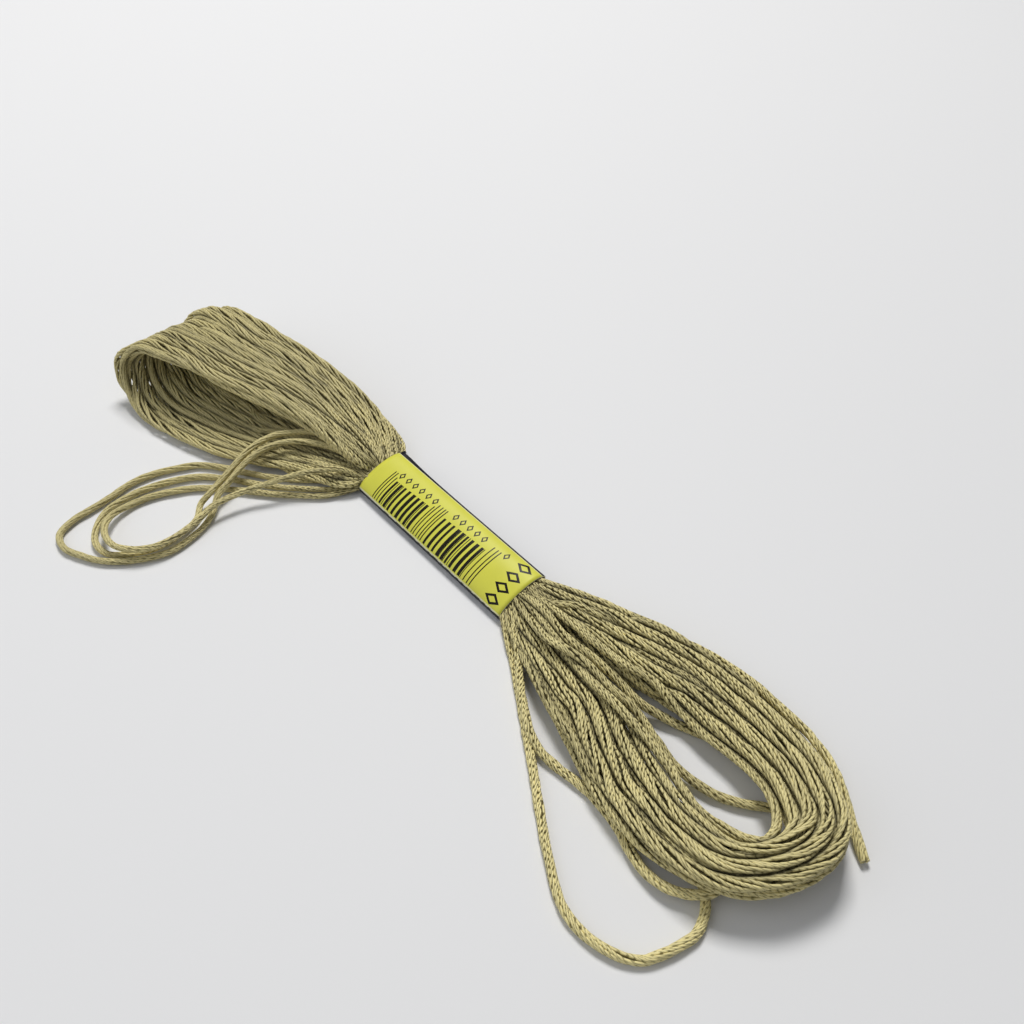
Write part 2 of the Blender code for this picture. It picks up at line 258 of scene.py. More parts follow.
def make_floss_tree():
    """Lays strands round each centre line, whose points carry their girth and how they lie flat."""
    tree = bpy.data.node_groups.new("stranded_floss", "GeometryNodeTree")
    tree.interface.new_socket("Centre Lines", in_out="INPUT", socket_type="NodeSocketGeometry")
    for name, kind, value in [
        ("Strands", "Int", STRANDS),
        ("Strand Radius", "Float", STRAND_DIAMETER / 2 * MM),
        ("Circle Radius", "Float", STRAND_CIRCLE * MM),
        ("Lay Length", "Float", LAY_LENGTH * MM),
        ("Ply Pitch", "Float", PLY_PITCH * MM),
        ("Sides", "Int", 6),
        ("Looseness", "Float", 0.25),
        ("Seed", "Float", 3.0),
    ]:
        socket = tree.interface.new_socket(name, in_out="INPUT", socket_type="NodeSocket" + kind)
        socket.default_value = value
    tree.interface.new_socket("Material", in_out="INPUT", socket_type="NodeSocketMaterial")
    tree.interface.new_socket("Floss", in_out="OUTPUT", socket_type="NodeSocketGeometry")
    inputs = tree.nodes.new("NodeGroupInput").outputs
    given = {socket.name: Value(tree, socket) for socket in inputs}

    lines = add_node(tree, "GeometryNodeMeshToCurve", {"Mesh": given["Centre Lines"]})
    sockets = {"Geometry": lines, "Amount": given["Strands"]}
    copies = add_node(tree, "GeometryNodeDuplicateElements", sockets, domain="SPLINE")
    number = copies.output("Duplicate Index")
    length = add_node(tree, "GeometryNodeSplineParameter").output("Length")
    girth = named_value(tree, "girth")
    turn_seed = named_value(tree, "turn_seed")

    # Each strand wanders on its circle, round it and in and out, so that gaps open and close
    own_seed = number * 5.17 + (turn_seed * 17.31 + given["Seed"])
    spot = add_node(tree, "ShaderNodeCombineXYZ", {0: length * 160.0, 1: own_seed})
    wander = add_noise(tree, spot, 1.0, 1.0, noise_dimensions="2D")
    swing, dip, uneven = wander.output("Color").parts()
    swing = (swing - 0.5) * given["Looseness"]
    dip = (dip - 0.6) * given["Looseness"]
    turns = number / given["Strands"] + length / given["Lay Length"] + swing
    angle = (turns + turn_seed) * (2 * math.pi)
    reach = given["Circle Radius"] * girth * (dip * 2.0 + 1.0)

    # A thread is widened along `flat` and thinned through it, as far as its `flatness` says
    tangent = add_node(tree, "GeometryNodeInputTangent")
    flat = named_value(tree, "flat", "FLOAT_VECTOR")
    through = tangent.vector_math("CROSS_PRODUCT", flat).vector_math("NORMALIZE")
    flat = through.vector_math("CROSS_PRODUCT", tangent)
    flatness = named_value(tree, "flatness")
    wide = flatness * (WIDENED - 1) + 1.0
    thin = flatness * (THINNED - 1) + 1.0
    cosine = angle.math("COSINE")
    sine = angle.math("SINE")

    def spread(flat_part, through_part):
        """The vector that goes so far along `flat` and so far through it."""
        return flat.scaled(flat_part).vector_math("ADD", through.scaled(through_part))

    offset = spread(reach * (cosine * wide), reach * (sine * thin))
    outward = spread(cosine / wide, sine / thin).vector_math("NORMALIZE")
    sideways = tangent.vector_math("CROSS_PRODUCT", outward)
    sockets = {"ID": turn_seed * 1000.0 + number}
    tone = add_node(tree, "FunctionNodeRandomValue", sockets, data_type="FLOAT")
    twist = length / given["Ply Pitch"] * (tone * 0.35 + 0.83)
    twist = uneven * 1.2 + (tone * 7.3 + twist)
    spot = add_node(tree, "GeometryNodeInputPosition")
    strands = store_value(tree, copies, "twist", twist * (-2 * math.pi))  # against the strands
    strands = store_value(tree, strands, "tone", tone)
    strands = store_value(tree, strands, "middle", spot, "FLOAT_VECTOR")
    strands = store_value(tree, strands, "outward", outward, "FLOAT_VECTOR")
    strands = store_value(tree, strands, "sideways", sideways, "FLOAT_VECTOR")
    strands = add_node(tree, "GeometryNodeSetPosition", {"Geometry": strands, "Offset": offset})
    strands = store_value(tree, strands, "heart", spot, "FLOAT_VECTOR")
    strands = add_node(tree, "GeometryNodeSetCurveRadius", {"Curve": strands, "Radius": girth})

    sockets = {"Resolution": given["Sides"], "Radius": given["Strand Radius"]}
    section = add_node(tree, "GeometryNodeCurvePrimitiveCircle", sockets)
    sockets = {"Curve": strands, "Profile Curve": section, "Fill Caps": True}
    tubes = add_node(tree, "GeometryNodeCurveToMesh", sockets)
    tubes = add_node(tree, "GeometryNodeSetShadeSmooth", {"Geometry": tubes})
    # Where each point lies on its strand: across it, and towards the outside of the thread
    from_heart = spot.vector_math("SUBTRACT", named_value(tree, "heart", "FLOAT_VECTOR"))
    radius = given["Strand Radius"] * girth
    for name, direction in [("place", "sideways"), ("facing", "outward")]:
        direction = named_value(tree, direction, "FLOAT_VECTOR")
        part = from_heart.vector_math("DOT_PRODUCT", direction)
        tubes = store_value(tree, tubes, name, part / radius)
    tubes = add_node(tree, "GeometryNodeRealizeInstances", {"Geometry": tubes})
    sockets = {"Geometry": tubes, "Material": given["Material"]}
    tubes = add_node(tree, "GeometryNodeSetMaterial", sockets)
    fill_sockets(tree, tree.nodes.new("NodeGroupOutput"), {0: tubes})
    return tree


FLOSS_TREE = make_floss_tree()
ThreadLine = namedtuple("ThreadLine", "points girth flat flatness seed")  # points in metres


def store_on_points(mesh, name, values, data_type="FLOAT", key="value"):
    mesh.attributes.new(name, data_type, "POINT").data.foreach_set(key, values)


def lay_floss(name, lines, **sizes):
    """A plain mesh piece of stranded floss along each of the lines."""
    mesh = bpy.data.meshes.new(name)
    counts = [len(line.points) for line in lines]
    starts = np.concatenate([[0], np.cumsum(counts)[:-1]])
    edges = [(s + i, s + i + 1) for s, n in zip(starts, counts) for i in range(n - 1)]
    mesh.from_pydata(np.concatenate([line.points for line in lines]), edges, [])
    store_on_points(mesh, "girth", np.concatenate([line.girth for line in lines]))
    store_on_points(mesh, "flatness", np.concatenate([line.flatness for line in lines]))
    store_on_points(mesh, "turn_seed", np.repeat([line.seed for line in lines], counts))
    flat = np.concatenate([line.flat for line in lines]).ravel()
    store_on_points(mesh, "flat", flat, "FLOAT_VECTOR", "vector")
    guide = add_object(name, mesh)
    modifier = guide.modifiers.new("laid", "NODES")
    modifier.node_group = FLOSS_TREE
    wanted = {key.replace("_", " "): value for key, value in sizes.items()}
    wanted["Material"] = FLOSS
    for item in FLOSS_TREE.interface.items_tree:
        if item.name in wanted:
            modifier[item.identifier] = wanted[item.name]
    view_layer = bpy.context.view_layer
    view_layer.update()
    plain = bpy.data.meshes.new_from_object(
        guide.evaluated_get(bpy.context.evaluated_depsgraph_get())
    )
    guide.modifiers.remove(modifier)
    guide.data = plain
    plain.name = name
    return guide


def unit_rows(vectors):
    return vectors / np.linalg.norm(vectors, axis=1)[:, None]


def level_across(points):
    """The level direction across a line at each of its points."""
    return unit_rows(np.cross([0, 0, 1.0], np.gradient(points, axis=0)))


# ---------------------------------------------------------------------------------------------
# The slack turns and the cut end: single threads that have slid out of the wind. Each leaves the
# band or the hank, lies on the table in a loose loop and goes back in, apart from the cut end.
# ---------------------------------------------------------------------------------------------
BAND_LENGTH = 35.0
BAND_HALF_WIDTH = 4.1  # of the paper's inside
BAND_EDGE_HEIGHT = 2.25  # of its side creases, before the lean
BAND_CROWN = 1.7  # rise of its upper half above the creases
BAND_DROP = 2.6  # depth of its lower half
BAND_LEAN = 0.27  # rise for each unit of Y
WAIST_GIRTH = 0.62  # how far the band squeezes the threads
LOOSE_AFTER = 9.0  # length beyond the band in which they swell again
SLACK_AFTER = 26.0  # the same for a slack thread, which its own pull keeps thin
SLACK_STEP = 0.4
Route = namedtuple("Route", "girth points")  # points in millimetres

SLACK_ROUTES = {
    "slack_loop_near": Route(0.98, [
        (12, -2.2, 1.6), (15, -2.7, 1.5), (17.4, -3.6, 1.4), (18.9, -4.5, 1.2),
        (20.8, -5.6, 0.9), (22.9, -6.7, 0.7), (26.4, -8.8, 0.7), (30.4, -11.3, 0.7),
        (34.4, -13.8, 0.7), (38.6, -16.4, 0.7), (43.2, -19.4, 0.7), (49, -23, 0.7),
        (55, -25.8, 0.7), (60.3, -25.5, 0.7), (64.2, -23.2, 0.7), (65.9, -18.9, 0.7),
        (66.2, -16, 0.7), (65.4, -14, 0.7), (63.5, -12, 0.7), (60.5, -10.8, 0.7),
        (57, -10.2, 0.7),
    ]),
    "slack_strand_near": Route(0.98, [
        (12, -2.2, 2.2), (15, -2.4, 2.1), (17.4, -2.8, 2.0), (19.9, -3.7, 2.2),
        (22, -5.0, 2.2), (24.2, -6.5, 2.0), (27.2, -8.8, 1.6), (31.5, -11.7, 1.5),
        (35.2, -13.7, 1.4), (37.7, -14.2, 1.0), (40.4, -14.0, 0.7), (43.4, -13.6, 0.7),
        (46.4, -13.4, 0.7), (49.7, -13.7, 0.7), (51.9, -14.2, 0.8), (54.6, -15.1, 0.9),
        (57, -15.6, 1.1), (59, -15.6, 1.3), (60.9, -15.2, 1.6), (62.6, -14.2, 1.8),
        (64.2, -12.6, 2.0), (64.8, -10, 1.9), (64.2, -7.5, 1.6),
    ]),
    "slack_loop_far_1": Route(0.79, [
        (-12, -1.6, 1.2), (-15, -1.9, 1.1), (-17.4, -2.6, 1.0), (-20.2, -4.9, 0.8),
        (-23.3, -7.6, 0.7), (-25.8, -10.2, 0.7), (-29.1, -13.2, 0.7), (-33, -16, 0.7),
        (-36.5, -18.3, 0.7), (-39.7, -21, 0.7), (-41.5, -24.5, 0.7), (-42.7, -28.2, 0.7),
        (-42.9, -31.8, 0.7), (-42.1, -35.4, 0.7), (-41.5, -38.8, 0.7), (-41, -42.2, 0.7),
        (-39.3, -45.2, 0.7), (-36.3, -45.8, 0.7), (-33.1, -44.5, 0.7), (-30.1, -42.6, 0.7),
        (-27.8, -40.1, 0.7), (-26.1, -37.1, 0.7), (-25.1, -34, 0.7), (-25.4, -31, 0.7),
        (-26.2, -28.3, 0.7), (-27.3, -26.1, 0.7), (-28.5, -24.5, 0.9), (-30.1, -22.7, 1.8),
        (-30.9, -20.4, 2.4), (-31.9, -17.8, 3.0), (-32.6, -15, 3.6), (-32.6, -12, 4.1),
        (-31.8, -9.4, 4.3), (-30.4, -7.4, 4.4), (-28.4, -5.6, 4.4), (-25.6, -3.8, 4.2),
        (-22, -2.4, 3.7), (-17.5, -1.3, 2.9), (-12, -0.8, 2.6),
    ]),
    "slack_loop_far_2": Route(0.79, [
        (-12, -2.6, 1.4), (-15, -2.8, 1.3), (-17.3, -3.1, 1.1), (-18.3, -5.2, 0.9),
        (-19.9, -8.9, 0.7), (-22.7, -12.2, 0.7), (-26, -15.5, 0.7), (-29.2, -18.2, 0.7),
        (-32.2, -20.9, 0.7), (-35, -23.9, 0.7), (-36.8, -27.2, 0.7), (-38, -30.6, 0.7),
        (-38.3, -33.8, 0.8), (-37.7, -36.4, 1.3), (-35.7, -38.8, 2.1), (-32.9, -40.2, 2.4),
        (-29.9, -40.1, 2.4), (-27.6, -38.4, 2.3), (-26.2, -36, 2.2), (-25.8, -33.2, 2.2),
        (-26.2, -30.2, 2.2), (-26.9, -27.4, 2.3), (-27.7, -25.2, 2.5), (-27.8, -23, 2.6),
        (-27.5, -20.6, 2.7), (-26.9, -18.2, 2.9), (-25.9, -15.6, 3.2), (-24.8, -12.6, 3.6),
        (-23.4, -9.9, 4.0), (-22, -7.6, 4.1), (-20.2, -5, 3.7), (-17.6, -3, 2.1),
        (-15, -2.4, 1.9), (-12, -2.2, 1.8),
    ]),
    "slack_loop_far_3": Route(0.79, [
        (-12, -2.2, 1.0), (-15, -2.5, 1.0), (-17.4, -3.1, 0.8), (-18.9, -5.2, 0.7),
        (-21.2, -8.3, 0.7), (-24.2, -11.4, 0.7), (-27.4, -14.4, 0.7), (-31, -17.1, 0.7),
        (-34.5, -19.7, 0.7), (-37.4, -22.7, 0.7), (-39.1, -26.2, 0.7), (-40.1, -30, 0.7),
        (-40.3, -33.6, 0.7), (-39.8, -36.8, 0.7), (-37.3, -40, 0.7), (-33.9, -41.7, 0.7),
        (-30.7, -41.2, 0.7), (-28.6, -38.8, 0.7), (-27.3, -35.8, 0.7), (-27.1, -32.8, 0.7),
        (-27.7, -29.8, 0.7), (-28.9, -27.2, 0.7), (-30.8, -25.4, 1.2), (-31.1, -23.6, 2.1),
        (-31.9, -21.2, 2.6), (-32.8, -18.6, 3.1), (-33.8, -15.8, 3.7), (-34.3, -12.6, 4.2),
        (-34.1, -9.6, 4.4), (-32.7, -6.9, 4.5), (-30.1, -4.4, 4.8), (-27, -2.6, 4.7),
        (-22.5, -1.4, 4.0), (-17.6, -0.5, 3.1), (-12, -0.2, 2.8),
    ]),
    "cut_end": Route(0.98, [
        (36, 11.4, 1.6), (40, 12.6, 2.0), (44, 13.3, 2.2), (49, 13.7, 2.3), (54, 13.4, 2.4),
        (59, 12.9, 2.3), (63.2, 11.7, 2.1), (67.3, 9.3, 1.6), (70, 7.3, 1.2), (73.3, 5.1, 0.7),
    ]),
}


def smooth_rows(rows, step):
    """Rows at about `step` apart along the smooth curve through the given ones."""
    rows = np.array(rows, dtype=float)
    spans = np.linalg.norm(np.diff(rows[:, :3], axis=0), axis=1)
    place = np.concatenate([[0], np.cumsum(spans)])
    slope = np.gradient(rows, place, axis=0)
    wanted = np.linspace(0, place[-1], round(place[-1] / step) + 1)
    piece = np.clip(np.searchsorted(place, wanted, side="right") - 1, 0, len(spans) - 1)
    span = spans[piece][:, None]
    t = (wanted[:, None] - place[piece][:, None]) / span
    return (
        (2 * t**3 - 3 * t**2 + 1) * rows[piece]
        + (t**3 - 2 * t**2 + t) * span * slope[piece]
        + (3 * t**2 - 2 * t**3) * rows[piece + 1]
        + (t**3 - t**2) * span * slope[piece + 1]
    )


def swell_at(points, after=LOOSE_AFTER):
    """How far the threads have swelled again beyond the band, from 0 to 1."""
    beyond = np.clip((np.abs(points[:, 0]) - BAND_LENGTH / 2) / after, 0, 1)
    return beyond * (2 - beyond)


def girth_at(points, full=1.0, after=LOOSE_AFTER):
    """The thread's size along its line: squeezed in the band, swelling beyond it."""
    return full * (WAIST_GIRTH + (1 - WAIST_GIRTH) * swell_at(points, after))


slack_lines = {}
for seed, (name, route) in enumerate(SLACK_ROUTES.items()):
    points = smooth_rows(route.points, SLACK_STEP)
    slack_lines[name] = points
    girth = girth_at(points, route.girth, SLACK_AFTER)
    line = ThreadLine(points * MM, girth, level_across(points), np.zeros(len(points)), 0.31 + seed)
    thread = lay_floss(name + "_floss", [line])
    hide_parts(name)
    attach(thread, "root")
    THREAD_DIAMETER * MM * route.girth
    "bare" if name == "cut_end" else "object"

# ---------------------------------------------------------------------------------------------
# The wound floss: one long thread in turns that pass twice through the band. The near lobe lies
# as a flat ring. The far lobe is a ribbon on edge that turns over and comes back above itself.
# ---------------------------------------------------------------------------------------------
PACKED_DIAMETER = 1.3
OUTER_GIRTH, INNER_GIRTH = 1.42, 0.84  # threads swell where nothing lies on them
DRAWN_SHARE = 0.9  # of the room a thread takes, so that gaps show between the threads
NODE_STEP = 0.9
Station = namedtuple("Station", "x y z width thick rise")  # rise: of one edge over the other

NEAR_LOBE = [
    Station(17.6, 1.9, 2.7, 3.6, 2.4, 0.9),
    Station(21.5, 2.5, 2.7, 5.6, 3.2, 0.9),
    Station(28, 4.2, 2.6, 8.2, 4.1, 0.2),
    Station(36, 6.1, 2.4, 10.2, 4.3, 0),
    Station(46, 7.9, 2.3, 9.4, 4.4, 0),
    Station(55, 7.6, 2.8, 9.0, 4.6, 0),
    Station(63.2, 5.5, 3.9, 8.2, 5.2, 0),
    Station(68.3, 1.4, 4.9, 7.0, 5.4, 0),
    Station(68.3, -4.0, 5.1, 5.6, 5.0, 0),
    Station(64.6, -9.1, 4.4, 5.9, 4.6, 0),
    Station(57.0, -10.8, 3.3, 7.8, 4.2, 0),
    Station(47.9, -9.55, 2.4, 9.1, 4.3, 0),
    Station(39, -6.55, 2.3, 9.3, 4.1, 0),
    Station(29, -4.6, 2.3, 7.0, 3.6, 0),
    Station(21.5, -2.7, 2.0, 5.0, 2.9, -0.8),
    Station(17.6, -1.9, 1.7, 3.2, 2.2, -0.9),
]

FAR_LOBE = [
    Station(-17.6, -0.9, 1.6, 5.2, 1.8, 1.2),
    Station(-22, -1.6, 1.8, 8.2, 2.1, 1.0),
    Station(-28, -3.4, 1.6, 11.2, 2.2, 0.4),
    Station(-37, -6.8, 1.3, 14.6, 2.2, 0),
    Station(-48, -10.6, 1.2, 18.4, 2.2, 0),
    Station(-58, -12.5, 1.5, 20.4, 2.2, 0),
    Station(-64.7, -11.7, 3.2, 20.8, 2.2, 0.4),
    Station(-66.8, -10.5, 6.2, 20.8, 2.2, 1.0),
    Station(-64.3, -8.8, 9.2, 20.0, 2.2, 1.2),
    Station(-57.8, -6.9, 10.1, 18.4, 2.2, 0.8),
    Station(-49, -4.3, 9.5, 15.6, 2.3, 0),
    Station(-40, -1.3, 8.2, 13.2, 2.4, 0),
    Station(-31, 0.9, 6.4, 11.4, 2.5, 0.4),
    Station(-22.5, 1.4, 4.3, 9.2, 2.4, 1.2),
    Station(-17.6, 0.9, 3.0, 5.4, 1.8, 1.2),
]
FAR_FOLD = np.array([-0.1, 1.0, 0.0]) / math.hypot(0.1, 1.0)

# Turns that leave their place in the near lobe, from the band round to the band again
STRAY_TURNS = [
    [  # crosses the opening and goes back under the other side
        (17.6, 2.6, 2.2), (22, 4.2, 1.7), (28, 7.6, 1.3), (36, 10.4, 1.2), (44, 12.3, 1.2),
        (52, 12.7, 1.2), (57.6, 12.4, 1.2), (60.2, 11.4, 1.1), (60.9, 9.9, 1.0),
        (60, 8.3, 0.9), (57.6, 7.2, 0.8), (54.8, 6.2, 0.8), (51.7, 5.0, 0.9), (48.4, 3.7, 1.0),
        (45.2, 1.9, 1.3), (43.3, 1.1, 1.6), (41.7, 0.4, 1.9), (39.9, 0, 2.2), (37.5, 0, 2.6),
        (34.1, -0.5, 3.2), (31.9, -1.0, 3.5), (29.5, -1.8, 3.7), (26.5, -2.1, 3.7),
        (22.5, -1.8, 3.6), (19.5, -1.4, 3.2), (17.6, -1.2, 2.8),
    ],
    [  # lies along the inner edge, then crosses under the bend
        (17.6, 3.1, 2.6), (22, 5.0, 2.2), (28, 8.3, 1.9), (36, 11.3, 1.9), (44, 13.0, 2.0),
        (52, 13.2, 2.1), (58, 12.6, 2.0), (62.5, 11.0, 1.6), (65.8, 9.3, 1.2), (67.2, 7.2, 1.0),
        (66.4, 5.1, 0.9), (64.2, 3.5, 0.9), (61.8, 2.1, 0.9), (59.2, -0.1, 0.9),
        (56.1, -1.8, 0.9), (52.9, -2.7, 1.1), (49.8, -3.1, 1.5), (47, -2.8, 1.9),
        (44.6, -2.7, 2.3), (42.9, -2.6, 2.6), (40.8, -2.8, 3.0), (38.8, -3.0, 3.3),
        (36.8, -3.1, 3.6), (34.9, -3.0, 3.9), (33, -3.2, 4.1), (30.8, -3.4, 4.2),
        (27.5, -3.6, 4.1), (23, -2.9, 3.6), (19.5, -2.1, 2.9), (17.6, -1.8, 2.5),
    ],
    [  # hangs a little apart round the inner edge
        (17.6, 0.9, 3.4), (22, 1.0, 3.9), (28, 1.2, 4.3), (32, 1.2, 4.3), (36.5, 1.6, 4.0),
        (39.9, 2.7, 3.5), (42.7, 3.3, 3.0), (46, 3.6, 2.5), (49.8, 3.5, 2.3), (54, 3.8, 2.4),
        (57.7, 3.4, 3.0), (60.1, 2.8, 3.5), (62.5, 1.5, 4.0), (64.4, -0.4, 4.4),
        (65.6, -2.4, 4.6), (65.6, -4.0, 4.5), (64.0, -5.2, 4.1), (61.1, -6.1, 3.7),
        (57.8, -6.8, 3.4), (55.2, -6.7, 3.3), (53.1, -6.2, 3.3), (50.4, -5.3, 3.3),
        (47.5, -4.8, 3.4), (44.5, -4.5, 3.6), (38, -4.0, 3.8), (33, -3.4, 3.9), (27, -2.7, 3.8),
        (22, -2.0, 3.0), (17.6, -1.4, 2.4),
    ],
]
# Ways of some of the upper threads in the run back to the band: they fan out and then bend
FANNED_TURNS = [
    [(20, -3.2, 1.6), (24.4, -5.7, 1.8), (29.3, -7.7, 1.7), (33.1, -8.8, 1.6), (39, -10.6, 1.7),
     (42.2, -11.6, 1.8), (45.4, -12.8, 1.9), (49, -13.7, 2.0), (54, -13.9, 2.4)],
    [(19, -2.9, 2.4), (22.9, -4.2, 3.4), (25.9, -4.6, 3.7), (28.7, -5.2, 3.7), (31.7, -5.6, 3.7),
     (33.8, -6.2, 3.7), (36.2, -6.4, 3.7), (38.3, -7.2, 3.7), (40.1, -8.3, 3.7),
     (42.8, -9.9, 3.6), (45.7, -11.2, 3.6), (48.4, -12.3, 3.6), (52, -12.8, 3.6)],
    [(19, -2.4, 2.6), (23, -3.7, 3.7), (27.2, -4.1, 4.0), (30.3, -4.3, 4.0), (32.8, -4.6, 4.0),
     (34.7, -4.8, 4.0), (36.5, -4.9, 4.0), (38.6, -5.7, 4.0), (40.8, -7.0, 3.9),
     (43, -8.2, 3.8), (45.9, -9.5, 3.8), (48.9, -10.5, 3.8), (53, -11.2, 3.9)],
    [(19, -1.8, 2.8), (23, -2.8, 3.6), (28, -3.0, 4.0), (33, -3.3, 3.7), (35.5, -3.5, 3.7),
     (38.1, -3.9, 3.7), (40.5, -4.7, 3.7), (42.7, -5.9, 3.7), (45, -6.8, 3.7),
     (48.1, -7.8, 3.7), (51.3, -8.5, 3.9), (55, -9.0, 4.2)],
]


def soft_noise(chance, count, knots):
    """A smooth wandering value between about -1 and 1 at `count` places."""
    heights = chance.uniform(-1.5, 1.5, knots + 3)
    place = np.linspace(0, knots - 1e-6, count)
    base = place.astype(int)
    t = place - base
    weights = [(1 - t) ** 3, 3 * t**3 - 6 * t**2 + 4, 3 * (t + t**2 - t**3) + 1, t**3]
    return sum(weight * heights[base + i] for i, weight in enumerate(weights)) / 6


Lobe = namedtuple("Lobe", "rows across through")
Turn = namedtuple("Turn", "points flat girth")


def make_lobe(stations, across=None):
    """The lobe's rows at every node, with the directions across its width and through it."""
    rows = smooth_rows(stations, NODE_STEP)
    tangent = unit_rows(np.gradient(rows[:, :3], axis=0))
    if across is None:
        across = unit_rows(np.cross([0, 0, 1.0], tangent))
    across = np.broadcast_to(across, tangent.shape)
    return Lobe(rows, across, unit_rows(np.cross(tangent, across)))


def lobe_turn(lobe, slot, wander):
    """One turn's way round a lobe, wandering a little from its slot."""
    count = len(lobe.rows)
    ends = np.sin(np.linspace(0, math.pi, count)) ** 0.4
    ends *= 1.6 - 1.0 * np.clip((np.abs(lobe.rows[:, 0]) - 34) / 14, 0, 1)
    side = slot[0] + wander[0] * soft_noise(chance, count, 10) * ends
    layer = slot[1] + wander[1] * soft_noise(chance, count, 13) * ends
    reach = np.maximum(lobe.rows[:, 3:5] - PACKED_DIAMETER * FLAT_DEPTH, 0.4) / 2
    points = lobe.rows[:, :3] + lobe.across * (side * reach[:, 0])[:, None]
    points = points + lobe.through * (layer * reach[:, 1])[:, None]
    points[:, 2] += side * lobe.rows[:, 5] / 2
    flat = lobe.across * math.cos(slot[2]) + lobe.through * math.sin(slot[2])
    return Turn(points, flat, slot[3])


def layer_slots(counts):
    """Places over a section, from -1 to 1 across and through it, in layers from the bottom."""
    slots = []
    for layer, count in enumerate(counts):
        through = (layer + 0.5) / len(counts) * 2 - 1
        girth = INNER_GIRTH if 0 < layer < len(counts) - 1 else OUTER_GIRTH
        slots += [((column + 0.5) / count * 2 - 1, through, 0, girth) for column in range(count)]
    return np.array(slots)


def ring_slots(counts, aspect):
    """Places over a section, in rings from its outside in, and the slope of the ring at each."""
    slots = []
    angle = np.linspace(0, 2 * math.pi, 361)
    cosine, sine = np.cos(angle), np.sin(angle)
    outline = np.sign([cosine, sine]) * np.abs([cosine, sine]) ** 0.75
    run = outline * [[aspect], [1]]
    arc = np.concatenate([[0], np.cumsum(np.hypot(*np.diff(run)))])
    slope = np.unwrap(np.arctan2(*np.gradient(run, axis=1)[::-1]))
    for ring, count in enumerate(counts):
        share = 1 - ring / (len(counts) - 0.35)
        wanted = (np.arange(count) + 0.5 * (ring % 2)) / count * arc[-1]
        girth = np.full(len(angle), INNER_GIRTH if ring else OUTER_GIRTH)
        columns = [*(outline * share), slope, girth]
        slots.append(np.transpose([np.interp(wanted, arc, column) for column in columns]))
    return np.concatenate(slots)


def follow(turn, way, blend=4.0):
    """The last run of a turn drawn over to another way, with a soft change-over."""
    way = smooth_rows(way, NODE_STEP)
    points = turn.points
    last_run = np.arange(len(points)) > len(points) // 2
    weight = np.clip((way[-1, 0] - points[:, 0]) / blend, 0, 1) * last_run
    weight *= np.clip((points[:, 0] - way[0, 0]) / blend + 1, 0, 1)
    for axis in (1, 2):
        drawn = np.interp(points[:, 0], way[:, 0], way[:, axis])
        points[:, axis] += weight * (drawn - points[:, axis])


chance = np.random.default_rng(11)
near_lobe = make_lobe(NEAR_LOBE)
far_lobe = make_lobe(FAR_LOBE, -FAR_FOLD)
near_slots = ring_slots([9, 8, 7], aspect=2.1)
near_turns = [lobe_turn(near_lobe, slot, (0.22, 0.3)) for slot in near_slots]
from_outside = sorted(range(9), key=lambda number: -near_slots[number][0])
fanned = [number for number in from_outside if near_slots[number][1] > -0.1]
fanned = fanned[: len(FANNED_TURNS)]
for number, way in zip(fanned, FANNED_TURNS):
    follow(near_turns[number], way)
for way in STRAY_TURNS:
    points = smooth_rows(way, NODE_STEP)
    near_turns.append(Turn(points, level_across(points), 1.0))
TURNS = len(near_turns)
held_turns = {*fanned, *range(len(near_slots), TURNS)}

# Each turn takes about the same place across both lobes
far_slots = layer_slots([8, TURNS - 16, 8])
side_of = np.array([slot[0] for slot in near_slots] + [-1.0, -0.9, 0.8])
far_order = np.argsort(np.argsort(-side_of + chance.normal(0, 0.4, TURNS)))
far_slots = far_slots[np.argsort(far_slots[:, 0], kind="stable")][far_order]
far_turns = [lobe_turn(far_lobe, slot, (0.09, 0.35)) for slot in far_slots]
outermost = [number for number in range(TURNS) if far_slots[number][1] < -0.5]
outermost.sort(key=lambda number: far_slots[number][0])
STANDING_OUT = [(outermost[1], 0.9), (outermost[2], 1.2)]


def thin_out(start, end, count):
    """A few points between two ends, for the hidden stretch inside the band."""
    share = np.linspace(0, 1, count + 2)[1:-1, None]
    return start + (end - start) * share


BAND_NODES = 8
routes, flats, girths = [], [], []
IN_BAND, IN_NEAR_LOBE, IN_FAR_LOBE, FREE = range(4)
kinds = []
for number in range(TURNS):
    near, far = near_turns[number], far_turns[number]
    start = (far_turns[number - 1].points[-1] + near.points[0]) / 2
    end = (far.points[-1] + near_turns[(number + 1) % TURNS].points[0]) / 2
    half = BAND_NODES // 2
    parts = [
        ([start], near.flat[:1], IN_BAND),
        (thin_out(start, near.points[0], half), near.flat[:1].repeat(half, 0), IN_BAND),
        (near.points, near.flat, IN_NEAR_LOBE if number < len(near_slots) else FREE),
        (thin_out(near.points[-1], far.points[0], BAND_NODES),
         thin_out(near.flat[-1], far.flat[0], BAND_NODES), IN_BAND),
        (far.points, far.flat, IN_FAR_LOBE),
        (thin_out(far.points[-1], end, half), far.flat[-1:].repeat(half, 0), IN_BAND),
        ([end], far.flat[-1:], IN_BAND),
    ]
    routes.append(np.concatenate([points for points, _, _ in parts]))
    flats.append(np.concatenate([flat for _, flat, _ in parts]))
    before_bend = np.interp(routes[-1][:, 0], [-BAND_LENGTH / 2, BAND_LENGTH / 2], [0, 1])
    girths.append(far.girth + (near.girth - far.girth) * before_bend)
    kinds.append(np.concatenate([np.full(len(points), kind) for points, _, kind in parts]))

